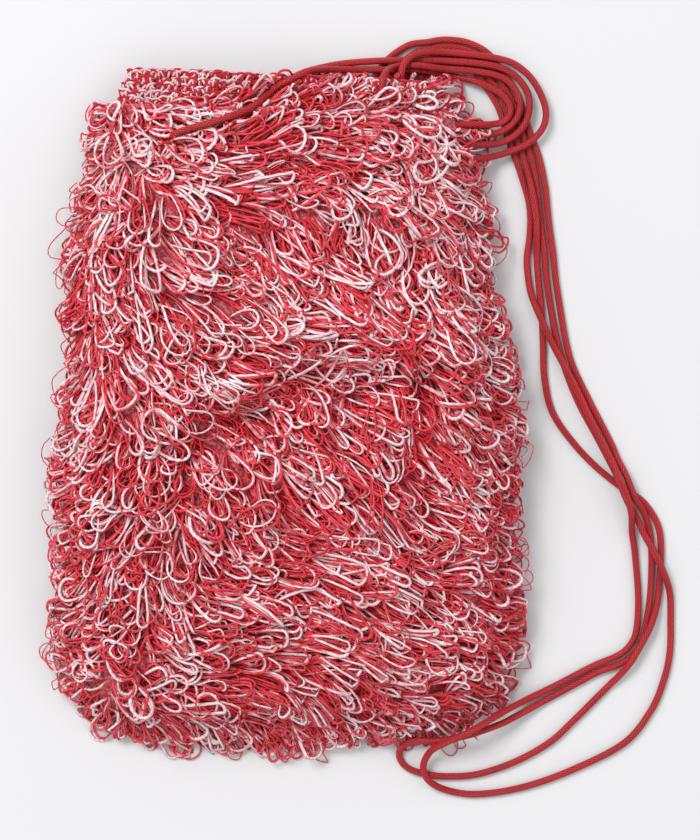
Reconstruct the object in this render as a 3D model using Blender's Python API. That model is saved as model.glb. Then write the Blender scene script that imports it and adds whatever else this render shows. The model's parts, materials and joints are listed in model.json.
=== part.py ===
"""Looped crochet string bag, lying on its back with the mouth towards +Y.

The floor is at Z = 0 and the bag's front faces +Z.  The tables are in millimetres and
everything that is built is in metres.
"""
import math
import random
from collections import namedtuple

import bmesh
import bpy
from mathutils import Vector
from mathutils import noise

MM = 0.001

# Bag body: one row for each section, from the mouth down to the bottom edge.
Section = namedtuple("Section", "y left right height hollow_low hollow_high")
BODY = (
    Section(152.7, -88, 86, 31, 4.5, 17.5),
    Section(144, -92, 89, 36, 6, 21),
    Section(120, -100, 91, 49, 8, 32),
    Section(90, -106, 94, 59, 9, 40),
    Section(60, -108, 97, 65, 9, 44),
    Section(34, -105, 105, 67, 9, 45),
    Section(10, -108, 110, 67, 9, 44),
    Section(-15, -111, 111, 67, 9, 44),
    Section(-40, -111, 110, 65, 9, 43),
    Section(-68, -113, 111, 62, 9, 41),
    Section(-95, -111, 110, 58, 9, 38),
    Section(-122, -112, 109, 51, 9, 33),
    Section(-142, -111, 106, 43, 9, 27),
    Section(-154, -105, 97, 33, 9, 19),
    Section(-161, -97, 84, 22, 9, 12),
    Section(-164, -89, 70, 14, 9, 12),
)
STEPS_PER_SECTION = 3
FRONT_POINTS = 40          # points of a section over its front, from side to side
BACK_POINTS = 14           # points over its plain underside
HOLLOW_POINTS = 24
ROUNDNESS = 2.6            # exponent of the section's superellipse
WIDEST_AT = 0.36           # share of the height at which a section is widest
FLAT_SHARE = 1.25          # how far the round underside is pressed flat on the floor

# Mouth: it leans down to the right.
MOUTH_TILT = 0.045
TILT_FROM = 100.0
MOUTH_LEFT = -85.0

# Hollow inside the bag.
SIDE_WALL = 13.0
HOLLOW_END = -138.0
HOLLOW_PAST_MOUTH = 12.0

# Pile relief on the front: broad lumps, long tufts and the folds that lie in it.
LUMP_SIZE = 24.0
LUMP_HEIGHT = 4.5
TUFT_LENGTH = 17.0
TUFT_WIDTH = 9.0
TUFT_HEIGHT = 4.6
TUFT_HEADING = math.radians(-38)    # the tufts lie down to the right
PLAIN_RINGS = 4            # rings over which the relief fades out at either end
RELIEF_LIFT = (0.1, 0.75)  # it fades in between these shares of a section's height
EDGE_SIZE = 13.0
EDGE_DEPTH = 2.4
Fold = namedtuple("Fold", "x1 y1 x2 y2 rise width")
FOLDS = (
    Fold(-60, -8, 8, 33, 5.5, 11),       # waist ridge, left half
    Fold(8, 33, 104, 28, 5.5, 11),       # waist ridge, right half
    Fold(-52, -24, 16, 15, -8.5, 9),     # crease under the ridge, left half
    Fold(16, 15, 76, 12, -8.5, 9),       # crease under the ridge, right half
    Fold(34, 86, 68, 52, -5.0, 12),      # dip above the ridge
    Fold(72, -42, 80, -96, -7.0, 14),    # dip at the lower right
    Fold(-72, 112, -8, 92, 4.5, 14),     # swell under the mouth
)

# Rim band: a flattened ring of single crochet.
BAND_Y = 153.0
BAND_HEIGHT = 17.3
BAND_ROWS = 5
BAND_LEFT = -85.0
BAND_RIGHT = 83.0
BAND_TAPER = 4.5           # how much narrower each side is at the top edge
BAND_BOTTOM = 1.0
BAND_TOP = 21.0
BAND_WALL = 3.5
ROW_GROOVE = 0.9
BAND_POINTS = 44
BAND_ROUNDNESS = 3.5

# Backing strips and the pile locks that stand on them.
GAP = 0.4
STRIP_THICK = 2.4
STRIP_TALL = 4.2
LOCK_PITCH = 7.6
ROOT_FACING = 0.7          # how squarely a face looks outwards to carry a lock
LOCK_SHARE = 0.62          # part of the pitch that a lock's root takes
LOCK_STEPS = ((0.5, 0.72), (1.0, 0.42))    # share of the length, size against the step before
LOCK_LENGTHS = (0.7, 1.25)
LOCK_DRIFTS = (0.2, 1.3)
LOCK_SWAYS = (-0.25, 0.35)
Strip = namedtuple("Strip", "name start end length drift seed")
SIDE_STRIPS = (
    Strip("pile_left", 146, -148, 5.2, (0, -0.55, 0), 11),
    Strip("pile_right", 112, -132, 6.4, (0, -0.5, 0), 12),
)
BOTTOM_STRIP = Strip("pile_bottom", -84, 50, 4.6, (0.5, 0, -0.15), 13)
TOP_STRIP = Strip("pile_top", 14, 74, 17.0, (0.3, 0, 0.3), 14)
TOP_STRIP_LIFT = 0.5
TOP_STRIP_PASSAGE = (40.0, 53.0)   # no lock stands where a cord crosses the band

# Cord.
CORD_RADIUS = 1.75
CORD_SIDES_RESOLUTION = 2
ROUTE_STEPS = 12
BEND_WEIGHT = 14.0         # millimetres of cord that a turn of one radian counts for
STRAP_POINTS = 84
LOOP_POINTS = 38
LANE = 4.15                # spacing of the cords that run side by side
FLOOR_LAY = 1.8            # height of a cord's centre where it lies on the floor

# Middle line of the four cords that run together, from the mouth to below the loops.
RUN = (
    (71, 180.2), (78.5, 181.4), (86.5, 180.8), (92, 179), (96, 176.8), (99, 174), (103.5, 168),
    (107.2, 162.5), (111, 156), (113.8, 148.5), (116.5, 139), (121.2, 126),
)

# Each cord's own points, as x, y, z, beyond the stretch where it follows RUN.
OUTER_FROM_MOUTH = (
    (50, 160.5, 7.4), (50.1, 163.9, 7.4), (50.7, 166.5, 5.9), (52.2, 169.2, 2.9), (54.8, 172.4, 1.9),
    (60.2, 177.8, 1.8), (65.3, 181, 1.8),
)
OUTER_DOWN = (
    (125.6, 113, 1.8), (126.9, 101, 1.8), (128.1, 90, 1.8), (129.6, 79, 1.8), (130.6, 65, 1.8),
    (134, 43.5, 1.8), (138.6, 24.5, 1.8), (146.2, 4.5, 1.8), (155.5, -13, 1.8),
    (162, -25.5, 2.2), (165.5, -33, 5.4), (171, -46.5, 5.8), (174.9, -53, 4.2), (177.7, -59, 4.5),
    (180.5, -65, 5.4), (184.5, -72, 5.8), (190, -84, 5.7), (193, -94, 2.6), (193.4, -107.5, 1.8),
    (193, -123, 1.8), (190, -137, 1.8), (183.5, -152.5, 1.8), (170, -169, 1.8), (144, -182.5, 1.8),
    (118.5, -191.5, 1.8), (96, -195, 1.8), (81, -193.2, 2.2), (71, -188, 5), (68, -181, 6),
    (70.5, -174, 7.6), (76.5, -168.8, 13), (90.5, -162, 17.6), (108.5, -152, 12.5),
    (121, -146.5, 4.4), (134.5, -140.3, 1.8), (154, -130.2, 1.8), (167, -124.6, 1.8),
    (173.1, -119.2, 1.8), (176.1, -111.5, 1.8), (177, -95.5, 1.8), (175.3, -73, 1.8),
    (173.6, -62, 3.9), (172.8, -53, 9.1), (170.5, -44, 9.7), (166.5, -34.5, 9.6),
    (162.8, -25.5, 7.2), (153, -6, 5.7), (144, 13, 5.7), (133.8, 32, 5.7), (128.5, 43.5, 5.9),
    (125.2, 51, 5.2), (122.2, 60.5, 2), (120.6, 75, 1.8), (122, 87, 1.8), (122.4, 97, 1.8),
    (121.4, 106, 1.8), (118.8, 115, 1.8),
)
OUTER_TO_MOUTH = (
    (70.3, 171.9, 1.9), (68, 168.7, 3.3), (66.7, 166, 7.1), (66.1, 163.2, 8.7), (66, 159.5, 8.7),
)
INNER_FROM_MOUTH = (
    (58, 160, 7.8), (58.1, 163.7, 7.8), (58.7, 166.2, 6.3), (60, 168.9, 2.9), (62.7, 172.2, 1.9),
    (67.2, 176.3, 1.8),
)
INNER_DOWN = (
    (121.8, 116, 4.4), (123.9, 106, 5.4), (125.1, 97, 5.4), (125.4, 88, 4.8), (125.5, 78, 2.4),
    (126.2, 67, 1.8), (128, 49.5, 1.8), (128.8, 32, 1.8), (129.5, 15.5, 1.8), (133.5, -1.5, 1.8),
    (144, -17, 1.8), (156.5, -30, 1.8), (170.5, -41, 1.8), (179.3, -46.8, 1.8), (186.6, -58, 1.8),
    (188.5, -70.5, 1.8), (187.7, -88, 1.8), (186.6, -98, 2.2), (183.4, -108.5, 5.3),
    (179.8, -115.8, 5.6), (176.2, -122.3, 5.6), (172.2, -128.8, 5.5), (167.2, -134.8, 3.6),
    (162.3, -139.8, 1.9), (156.5, -145.6, 1.8), (144, -158, 1.8), (132.5, -168.5, 1.8),
    (115.5, -178.2, 1.8), (96, -184.8, 1.8), (79.5, -186, 1.8), (67.5, -184.4, 1.8),
    (60, -181.5, 1.8), (56.2, -176.8, 1.9), (56.8, -171.6, 2.9), (61.2, -168, 5),
    (67, -167.2, 7), (76, -167.2, 8.7), (90.5, -164, 12.4), (106, -159, 9.6), (115.5, -154.8, 5.6), (128.5, -148.2, 2),
    (144.2, -139.8, 1.8), (157, -133, 1.8), (168.3, -128.9, 1.8), (175.5, -123.4, 1.8),
    (179.2, -116.1, 1.8), (182.2, -101, 1.8), (183.5, -88, 1.8), (183.7, -73, 1.8),
    (182.5, -61, 1.8), (179.3, -51.8, 3.9), (175.3, -46, 6.2), (172.8, -39.5, 6),
    (170, -32.5, 4.9), (166.5, -25.5, 2.8), (162.5, -16, 1.8), (152, 4.5, 1.8), (144.1, 21, 1.8),
    (140.8, 32, 1.8), (138, 47, 1.8), (135.2, 65, 1.8), (133.8, 79, 1.8), (132.2, 90, 1.8),
    (131, 101, 1.8), (129.7, 113, 1.8),
)
INNER_TO_MOUTH = (
    (61.5, 184.6, 1.8), (53, 179.6, 1.8), (47, 173.5, 1.9), (44.2, 169.6, 2.8), (42.7, 166.9, 5.7),
    (42.1, 164.2, 7.2), (42, 160.5, 7.2),
)
LOOP_A = (
    (56, 159.5, 14.8), (56.2, 163.5, 15), (56.6, 168, 15), (57.7, 172, 14.2),
    (60, 175.6, 12.7), (64.5, 178.6, 9.8), (70.5, 180.1, 7.4), (78.5, 180.3, 5.9),
    (87.5, 179.6, 5.7), (97, 178.6, 5.7), (106, 177, 5.7), (113.4, 174.6, 5.7), (119.8, 170, 5.7),
    (124.4, 164.4, 5.7), (127.8, 158, 5.7), (129.8, 151.5, 5.7), (129.6, 145.2, 5.7),
    (126.5, 139.2, 5.7), (120, 133.6, 5.7), (110, 129.5, 5.7), (103.5, 127.5, 7.5),
    (97.5, 126, 11.5), (91.3, 125.2, 15.5),
)
LOOP_B = (
    (-8, 161, 6.8), (-1, 165.5, 7), (5.5, 169, 6.8), (11.5, 171.2, 6.2), (19, 173, 5.6),
    (26.5, 174.4, 5.3), (34, 175.2, 5.3), (42, 175.7, 5.6), (51.5, 176.1, 5.8), (62, 176.3, 5.8),
    (76, 176, 5.7), (86.5, 175.5, 5.7), (97, 174.5, 5.7), (105.5, 172.9, 5.7), (111.5, 170.4, 5.7),
    (116.2, 166.6, 5.7), (119.7, 161.8, 5.7), (121.4, 157, 5.7), (121.6, 151.5, 5.7),
    (120.2, 146, 5.7), (117, 140.8, 5.7), (112.2, 136.8, 5.7), (106, 134.2, 6.4),
    (99, 133.2, 10.5), (90, 133.2, 15.5),
)
LOOP_C = (
    (46.5, 155, 23.4), (46.8, 159.5, 23.4), (47.5, 164.6, 23.3), (48.6, 167.7, 21.3),
    (50, 169.8, 17), (52, 171.4, 12.9), (55, 172.6, 10.3), (58.5, 173.2, 9.5), (65.5, 173.1, 10),
    (72.5, 172.2, 9.4), (79.5, 171.7, 6.7), (87.5, 171.3, 5.7), (96, 170.4, 5.7),
    (103.5, 169, 5.7), (109, 166.8, 5.7), (112.8, 163.6, 5.7), (115.5, 159.6, 5.7),
    (116.8, 155, 5.7), (116.4, 150, 5.7), (114, 145.2, 5.7), (110, 141.6, 5.7), (105, 139.3, 6.4),
    (99, 138.2, 10.5), (89.3, 138.2, 15.2),
)
LOOP_D = (
    (-52.5, 136.5, 40.9), (-45.5, 138.8, 40.3), (-37, 141.2, 39.9), (-28.5, 144, 39.5), (-20, 147.5, 36),
    (-16.6, 149.8, 34.2), (-13.6, 152.6, 30.4), (-10.5, 156.4, 25.2), (-5.5, 160.8, 23.4), (1, 164.2, 23.4),
    (6.5, 167, 23.3), (10.5, 169, 20.7), (15, 170.2, 16.3), (21, 170.9, 11.8), (28.5, 171.2, 8.6),
    (37, 171.3, 6.8), (46, 171.4, 6.5), (56, 171.3, 6.3), (66, 171.1, 6.6), (73, 170.2, 5.6),
    (79, 169.2, 2.8), (85, 168.2, 2.3), (89, 167.1, 3.7), (93, 166, 5.2), (98, 164, 5.7),
    (104.2, 161.2, 5.7), (108.9, 157.8, 5.7), (111.8, 153.2, 5.7), (111.6, 148.6, 5.7),
    (108.4, 145.2, 5.8), (103.5, 143.8, 6.8), (98, 143.2, 10.4), (89.3, 142.8, 13.8),
)


def clear_scene():
    for thing in list(bpy.data.objects):
        bpy.data.objects.remove(thing, do_unlink=True)


def new_collection(name):
    collection = bpy.data.collections.new(name)
    bpy.context.scene.collection.children.link(collection)
    return collection


def plain_material(name, colour, roughness):
    material = bpy.data.materials.new(name)
    material.use_nodes = True
    shader = material.node_tree.nodes["Principled BSDF"]
    shader.inputs["Base Color"].default_value = (*colour, 1)
    shader.inputs["Roughness"].default_value = roughness
    shader.inputs["Metallic"].default_value = 0
    return material


def pile_yarn():
    return plain_material("pile_yarn", (0.62, 0.10, 0.15), 0.9)


def rim_yarn():
    return plain_material("rim_yarn", (0.42, 0.10, 0.15), 0.9)


def round_cord():
    return plain_material("round_cord", (0.50, 0.02, 0.035), 0.45)


def smooth_line(points, steps):
    """Points on the Catmull-Rom curve through the given points, with even steps between."""
    last = len(points) - 1
    line = []
    for i in range(last):
        before = points[max(i - 1, 0)]
        here = points[i]
        there = points[i + 1]
        after = points[min(i + 2, last)]
        for step in range(steps):
            t = step / steps
            line.append(tuple(
                0.5 * (2 * b + (c - a) * t + (2 * a - 5 * b + 4 * c - d) * t * t
                       + (3 * b - a - 3 * c + d) * t * t * t)
                for a, b, c, d in zip(before, here, there, after)))
    line.append(tuple(points[last]))
    return line


def smooth_share(value, low, high):
    share = min(max((value - low) / (high - low), 0), 1)
    return share * share * (3 - 2 * share)


def signed_power(value, power):
    return math.copysign(abs(value) ** power, value)


def tilted(x, y):
    """Y after the mouth end has been leaned down to the right."""
    share = smooth_share(y, TILT_FROM, BODY[0].y)
    return y - MOUTH_TILT * (x - MOUTH_LEFT) * share


def add_object(name, bm, collection, material, smooth=True):
    bmesh.ops.recalc_face_normals(bm, faces=bm.faces)
    mesh = bpy.data.meshes.new(name)
    bm.to_mesh(mesh)
    bm.free()
    if smooth:
        mesh.shade_smooth()
    if material:
        mesh.materials.append(material)
    piece = bpy.data.objects.new(name, mesh)
    collection.objects.link(piece)
    return piece


def loft(rings, closed_way=False):
    """Skin over rings of points given in millimetres: capped, or closed on itself."""
    bm = bmesh.new()
    loops = [[bm.verts.new(Vector(point) * MM) for point in ring] for ring in rings]
    pairs = list(zip(loops, loops[1:]))
    if closed_way:
        pairs.append((loops[-1], loops[0]))
    for ring, following in pairs:
        for i, vert in enumerate(ring):
            j = (i + 1) % len(ring)
            bm.faces.new((vert, ring[j], following[j], following[i]))
    if not closed_way:
        bm.faces.new(loops[0])
        bm.faces.new(loops[-1])
    return bm


def fold_rise(x, y):
    """Height that the folds add at a place on the front."""
    rise = 0
    for fold in FOLDS:
        along = Vector((fold.x2 - fold.x1, fold.y2 - fold.y1))
        offset = Vector((x - fold.x1, y - fold.y1))
        share = min(max(offset.dot(along) / along.length_squared, 0), 1)
        distance = (offset - along * share).length / fold.width
        rise += fold.rise * math.exp(-distance * distance)
    return rise


def pile_relief(x, y):
    lumps = LUMP_HEIGHT * noise.noise(Vector((x, y, 0)) / LUMP_SIZE)
    along = x * math.cos(TUFT_HEADING) + y * math.sin(TUFT_HEADING)
    across = y * math.cos(TUFT_HEADING) - x * math.sin(TUFT_HEADING)
    tufts = TUFT_HEIGHT * noise.noise(Vector((along / TUFT_LENGTH, across / TUFT_WIDTH, 5)))
    return lumps + tufts + fold_rise(x, y)


def section_sides(section):
    """A section's left and right sides with the pile's uneven edge."""
    uneven = smooth_share(BODY[0].y - section.y, 0, 2 * EDGE_SIZE)
    left = section.left + EDGE_DEPTH * uneven * noise.noise(Vector((3, section.y / EDGE_SIZE, 0)))
    right = section.right + EDGE_DEPTH * uneven * noise.noise(Vector((8, section.y / EDGE_SIZE, 0)))
    return left, right


def body_sections():
    return [Section(*row) for row in smooth_line(BODY, STEPS_PER_SECTION)]


def body_ring(section, relief_share):
    left, right = section_sides(section)
    middle = (left + right) / 2
    half = (right - left) / 2
    side_height = WIDEST_AT * section.height
    ring = []
    front = [math.pi * i / FRONT_POINTS for i in range(FRONT_POINTS)]
    back = [math.pi * (1 + i / BACK_POINTS) for i in range(BACK_POINTS)]
    for angle in front + back:
        x = middle + half * signed_power(math.cos(angle), 2 / ROUNDNESS)
        lift = abs(math.sin(angle)) ** (2 / ROUNDNESS)
        if math.sin(angle) >= 0:
            relief = pile_relief(x, section.y) * smooth_share(lift, *RELIEF_LIFT) * relief_share
            z = side_height + (section.height - side_height) * lift + relief
        else:
            z = side_height * (1 - min(1, FLAT_SHARE * lift))
        ring.append((x, tilted(x, section.y), z))
    return ring


def hollow_rings():
    """Rings of the bag's empty inside, from past the mouth to near the bottom."""
    rows = [row for row in body_sections() if row.y > HOLLOW_END]
    outside = Section(BODY[0].y + HOLLOW_PAST_MOUTH, *rows[0][1:])
    rings = []
    for row in [outside] + rows[::STEPS_PER_SECTION]:
        middle = (row.left + row.right) / 2
        half = (row.right - row.left) / 2 - SIDE_WALL
        rise = (row.hollow_high - row.hollow_low) / 2
        ring = []
        for i in range(HOLLOW_POINTS):
            angle = 2 * math.pi * i / HOLLOW_POINTS
            x = middle + half * signed_power(math.cos(angle), 2 / ROUNDNESS)
            z = row.hollow_low + rise * (1 + signed_power(math.sin(angle), 2 / ROUNDNESS))
            ring.append((x, tilted(x, row.y), z))
        rings.append(ring)
    return rings


def make_pouch(parts, cutters):
    sections = body_sections()
    last = len(sections) - 1
    rings = []
    for i, section in enumerate(sections):
        relief_share = smooth_share(i, 0, PLAIN_RINGS) * smooth_share(last - i, 0, PLAIN_RINGS)
        rings.append(body_ring(section, relief_share))
    pouch = add_object("pouch", loft(rings), parts, pile_yarn())
    hollow = add_object("pouch_hollow", loft(hollow_rings()), cutters, None)
    hollow.hide_render = True
    hollow.display_type = "WIRE"
    cut = pouch.modifiers.new("hollow", "BOOLEAN")
    cut.operation = "DIFFERENCE"
    cut.solver = "EXACT"
    cut.object = hollow


def band_ring(y, shrink, groove):
    """One ring of the band: shrink is the wall's depth, groove the dip between two rows."""
    taper = BAND_TAPER * (y - BAND_Y) / BAND_HEIGHT
    left = BAND_LEFT + taper + shrink + groove
    right = BAND_RIGHT - taper - shrink - groove
    middle = (left + right) / 2
    half = (right - left) / 2
    centre = (BAND_BOTTOM + BAND_TOP) / 2
    rise = (BAND_TOP - BAND_BOTTOM) / 2 - shrink - groove
    ring = []
    for i in range(BAND_POINTS):
        angle = 2 * math.pi * i / BAND_POINTS
        x = middle + half * signed_power(math.cos(angle), 2 / BAND_ROUNDNESS)
        z = centre + rise * signed_power(math.sin(angle), 2 / BAND_ROUNDNESS)
        ring.append((x, y - MOUTH_TILT * (x - MOUTH_LEFT), z))
    return ring


def make_rim_band(parts):
    rings = []
    for i in range(2 * BAND_ROWS + 1):
        y = BAND_Y + BAND_HEIGHT * i / (2 * BAND_ROWS)
        groove = ROW_GROOVE if i % 2 == 0 else 0
        rings.append(band_ring(y, 0, groove))
    rings.append(band_ring(BAND_Y + BAND_HEIGHT, BAND_WALL, 0))
    rings.append(band_ring(BAND_Y, BAND_WALL, 0))
    add_object("rim_band", loft(rings, closed_way=True), parts, rim_yarn())


def band_front(x):
    """Height of the band's front over the floor."""
    middle = (BAND_LEFT + BAND_RIGHT) / 2
    half = (BAND_RIGHT - BAND_LEFT) / 2
    share = min(abs((x - middle) / half), 1)
    centre = (BAND_BOTTOM + BAND_TOP) / 2
    return centre + (BAND_TOP - centre) * (1 - share ** BAND_ROUNDNESS) ** (1 / BAND_ROUNDNESS)


def grow_lock(bm, face, direction, length):
    """Draw a face of the strip out into one tapering lock."""
    middle = face.calc_center_median()
    for share, size in LOCK_STEPS:
        face = bmesh.ops.extrude_discrete_faces(bm, faces=[face])["faces"][0]
        target = middle + direction * length * share * MM
        here = face.calc_center_median()
        for vert in face.verts:
            vert.co = target + (vert.co - here) * size


def strip_with_locks(strip, stations, outward, parts, passage=(0, 0)):
    """A backing strip through the stations, with a lock on every other stretch of it.

    No lock stands where X lies inside the passage.
    """
    up = Vector((0, 0, 1))
    rings = []
    for point in stations:
        low = Vector(point)
        out = low + outward * STRIP_THICK
        rings.append([low, out, out + up * STRIP_TALL, low + up * STRIP_TALL])
    bm = loft(rings)
    bmesh.ops.recalc_face_normals(bm, faces=bm.faces)
    roots = [face for face in bm.faces if face.normal.dot(outward) > ROOT_FACING]
    roots.sort(key=lambda face: face.calc_center_median().dot(Vector((1, -1, 0))))
    picker = random.Random(strip.seed)
    for face in roots[1::2]:
        if passage[0] < face.calc_center_median().x / MM < passage[1]:
            continue
        sway = Vector((0, 0, picker.uniform(*LOCK_SWAYS)))
        aim = outward + Vector(strip.drift) * picker.uniform(*LOCK_DRIFTS) + sway
        grow_lock(bm, face, aim.normalized(), strip.length * picker.uniform(*LOCK_LENGTHS))
    add_object(strip.name, bm, parts, pile_yarn(), smooth=False)


def lock_stations(start, end):
    """Places along a strip: a wide stretch for a lock's root, then a narrow one."""
    count = round(abs(end - start) / LOCK_PITCH)
    pitch = (end - start) / count
    places = []
    for i in range(count):
        places.append(start + pitch * i)
        places.append(start + pitch * (i + 1 - LOCK_SHARE))
    places.append(end)
    return places


def sides_at(y):
    """The body's left side, right side and height, read between its smooth sections."""
    rows = body_sections()
    for upper, lower in zip(rows, rows[1:]):
        if upper.y >= y >= lower.y:
            share = (upper.y - y) / (upper.y - lower.y)
            above = (*section_sides(upper), upper.height)
            below = (*section_sides(lower), lower.height)
            return tuple(a + (b - a) * share for a, b in zip(above, below))
    return (*section_sides(rows[-1]), rows[-1].height)


def make_side_pile(parts):
    for strip in SIDE_STRIPS:
        side = -1 if strip.name.endswith("left") else 1
        stations = []
        for y in lock_stations(strip.start, strip.end):
            left, right, height = sides_at(y)
            edge = (left if side < 0 else right) + side * GAP
            stations.append((edge, tilted(edge, y), WIDEST_AT * height - STRIP_TALL / 2))
        strip_with_locks(strip, stations, Vector((side, 0, 0)), parts)


def make_bottom_pile(parts):
    base = BODY[-1]
    y = base.y - GAP
    z = WIDEST_AT * base.height - STRIP_TALL / 2
    stations = [(x, y, z) for x in lock_stations(BOTTOM_STRIP.start, BOTTOM_STRIP.end)]
    strip_with_locks(BOTTOM_STRIP, stations, Vector((0, -1, 0)), parts)


def make_top_pile(parts):
    stations = []
    for x in lock_stations(TOP_STRIP.start, TOP_STRIP.end):
        y = BODY[0].y - MOUTH_TILT * (x - MOUTH_LEFT) + GAP
        stations.append((x, y, band_front(x) + TOP_STRIP_LIFT))
    strip_with_locks(TOP_STRIP, stations, Vector((0, 1, 0)), parts, TOP_STRIP_PASSAGE)


def beside_run(lane):
    """The run's middle line moved sideways by a number of half lanes, to the outer side."""
    moved = []
    for i, (x, y) in enumerate(RUN):
        before = RUN[max(i - 1, 0)]
        after = RUN[min(i + 1, len(RUN) - 1)]
        way = Vector((after[0] - before[0], after[1] - before[1])).normalized()
        shift = Vector((-way.y, way.x)) * lane * LANE / 2
        moved.append((x + shift.x, y + shift.y, FLOOR_LAY))
    return tuple(moved)


def even_points(route, count):
    """Points on the smooth curve through a route, closer together where it bends."""
    fine = [Vector(point) for point in smooth_line(route, ROUTE_STEPS)]
    weights = [0]
    for i in range(1, len(fine)):
        step = fine[i] - fine[i - 1]
        following = fine[min(i + 1, len(fine) - 1)] - fine[i]
        turn = step.angle(following, 0) if following.length > 0 else 0
        weights.append(weights[-1] + step.length + BEND_WEIGHT * turn)
    points = []
    place = 0
    for i in range(count):
        target = weights[-1] * i / (count - 1)
        while place < len(fine) - 2 and weights[place + 1] < target:
            place += 1
        share = (target - weights[place]) / (weights[place + 1] - weights[place])
        points.append(fine[place].lerp(fine[place + 1], min(max(share, 0), 1)))
    return points


def make_cord(name, route, count, parts):
    curve = bpy.data.curves.new(name, "CURVE")
    curve.dimensions = "3D"
    curve.bevel_depth = CORD_RADIUS * MM
    curve.bevel_resolution = CORD_SIDES_RESOLUTION
    curve.use_fill_caps = True
    spline = curve.splines.new("POLY")
    spline.points.add(count - 1)
    for point, place in zip(spline.points, even_points(route, count)):
        point.co = (*(place * MM), 1)
    curve.materials.append(round_cord())
    cord = bpy.data.objects.new(name, curve)
    parts.objects.link(cord)


def make_cords(parts):
    outer = OUTER_FROM_MOUTH + beside_run(1) + OUTER_DOWN + beside_run(-3)[::-1] + OUTER_TO_MOUTH
    inner = INNER_FROM_MOUTH + beside_run(-1) + INNER_DOWN + beside_run(3)[::-1] + INNER_TO_MOUTH
    make_cord("strap_outer", outer, STRAP_POINTS, parts)
    make_cord("strap_inner", inner, STRAP_POINTS, parts)
    loops = (("loop_a", LOOP_A), ("loop_b", LOOP_B), ("loop_c", LOOP_C), ("loop_d", LOOP_D))
    for name, route in loops:
        make_cord(name, route, LOOP_POINTS, parts)


def make_bag():
    clear_scene()
    parts = new_collection("looped_string_bag")
    cutters = new_collection("cutters")
    make_pouch(parts, cutters)
    make_rim_band(parts)
    make_side_pile(parts)
    make_bottom_pile(parts)
    make_top_pile(parts)
    make_cords(parts)


make_bag()
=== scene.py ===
import json
import math

import bpy
import numpy as np
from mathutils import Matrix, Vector
from mathutils.bvhtree import BVHTree

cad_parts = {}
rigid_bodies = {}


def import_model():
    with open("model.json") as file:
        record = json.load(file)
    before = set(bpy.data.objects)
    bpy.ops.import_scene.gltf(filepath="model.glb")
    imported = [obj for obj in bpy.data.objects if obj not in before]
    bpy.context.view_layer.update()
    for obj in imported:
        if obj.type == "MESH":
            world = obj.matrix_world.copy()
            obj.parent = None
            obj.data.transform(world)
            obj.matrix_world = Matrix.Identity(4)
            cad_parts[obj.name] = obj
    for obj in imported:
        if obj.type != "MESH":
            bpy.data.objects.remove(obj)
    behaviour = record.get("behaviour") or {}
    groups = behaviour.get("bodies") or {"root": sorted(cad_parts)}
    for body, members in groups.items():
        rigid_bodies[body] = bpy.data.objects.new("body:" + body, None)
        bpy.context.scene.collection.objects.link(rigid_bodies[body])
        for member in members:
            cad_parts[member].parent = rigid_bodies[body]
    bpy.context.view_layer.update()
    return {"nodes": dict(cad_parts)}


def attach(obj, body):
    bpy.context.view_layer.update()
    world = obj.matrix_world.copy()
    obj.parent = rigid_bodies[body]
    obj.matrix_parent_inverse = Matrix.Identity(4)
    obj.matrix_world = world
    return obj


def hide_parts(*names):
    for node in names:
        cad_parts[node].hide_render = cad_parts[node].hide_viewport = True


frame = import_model()
print("frame loaded:", sorted(frame["nodes"]))


# small helpers

def editing(on):
    bpy.ops.object.mode_set(mode="EDIT" if on else "OBJECT")


def pickOnly(thing):
    bpy.ops.object.select_all(action="DESELECT")
    thing.hide_set(False)
    thing.select_set(True)
    bpy.context.view_layer.objects.active = thing


def settle(piece):
    # place, turn and scale go into the mesh, so the object itself sits at the origin
    pickOnly(piece)
    bpy.ops.object.transform_apply(location=True, rotation=True, scale=True)


def joinClose(distance):
    # points closer to each other than this become one
    editing(True)
    bpy.ops.mesh.select_all(action="SELECT")
    bpy.ops.mesh.remove_doubles(threshold=distance)
    bpy.ops.mesh.select_all(action="DESELECT")
    editing(False)


def thicken(piece, thickness):
    wall = piece.modifiers.new("wall", "SOLIDIFY")
    wall.thickness = thickness
    wall.offset = -1
    bpy.ops.object.modifier_apply(modifier=wall.name)
    bpy.ops.object.shade_smooth()


def vertexPlaces(piece):
    flat = np.zeros(len(piece.data.vertices) * 3)
    piece.data.vertices.foreach_get("co", flat)
    return flat.reshape(-1, 3)


def unit(rows):
    return rows / np.linalg.norm(rows, axis=1)[:, None]


def smoothLine(points, steps):
    # Catmull-Rom curve through the points
    points = np.array(points, float)
    ends = np.vstack([points[:1], points, points[-1:]])
    line = []
    for a, b, c, d in zip(ends, ends[1:], ends[2:], ends[3:]):
        for t in np.arange(steps) / steps:
            line.append(0.5 * (2 * b + (c - a) * t + (2 * a - 5 * b + 4 * c - d) * t * t
                               + (3 * b - a - 3 * c + d) * t ** 3))
    line.append(points[-1])
    return np.array(line)


def lineLength(line):
    return float(np.linalg.norm(np.diff(line, axis=0), axis=1).sum())


def evenPoints(line, count, closed=False):
    # that many points along the line, the same way apart
    along = np.r_[0, np.cumsum(np.linalg.norm(np.diff(line, axis=0), axis=1))]
    at = np.linspace(0, along[-1], count, endpoint=not closed)
    return np.c_[tuple(np.interp(at, along, line[:, k]) for k in range(3))]


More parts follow.
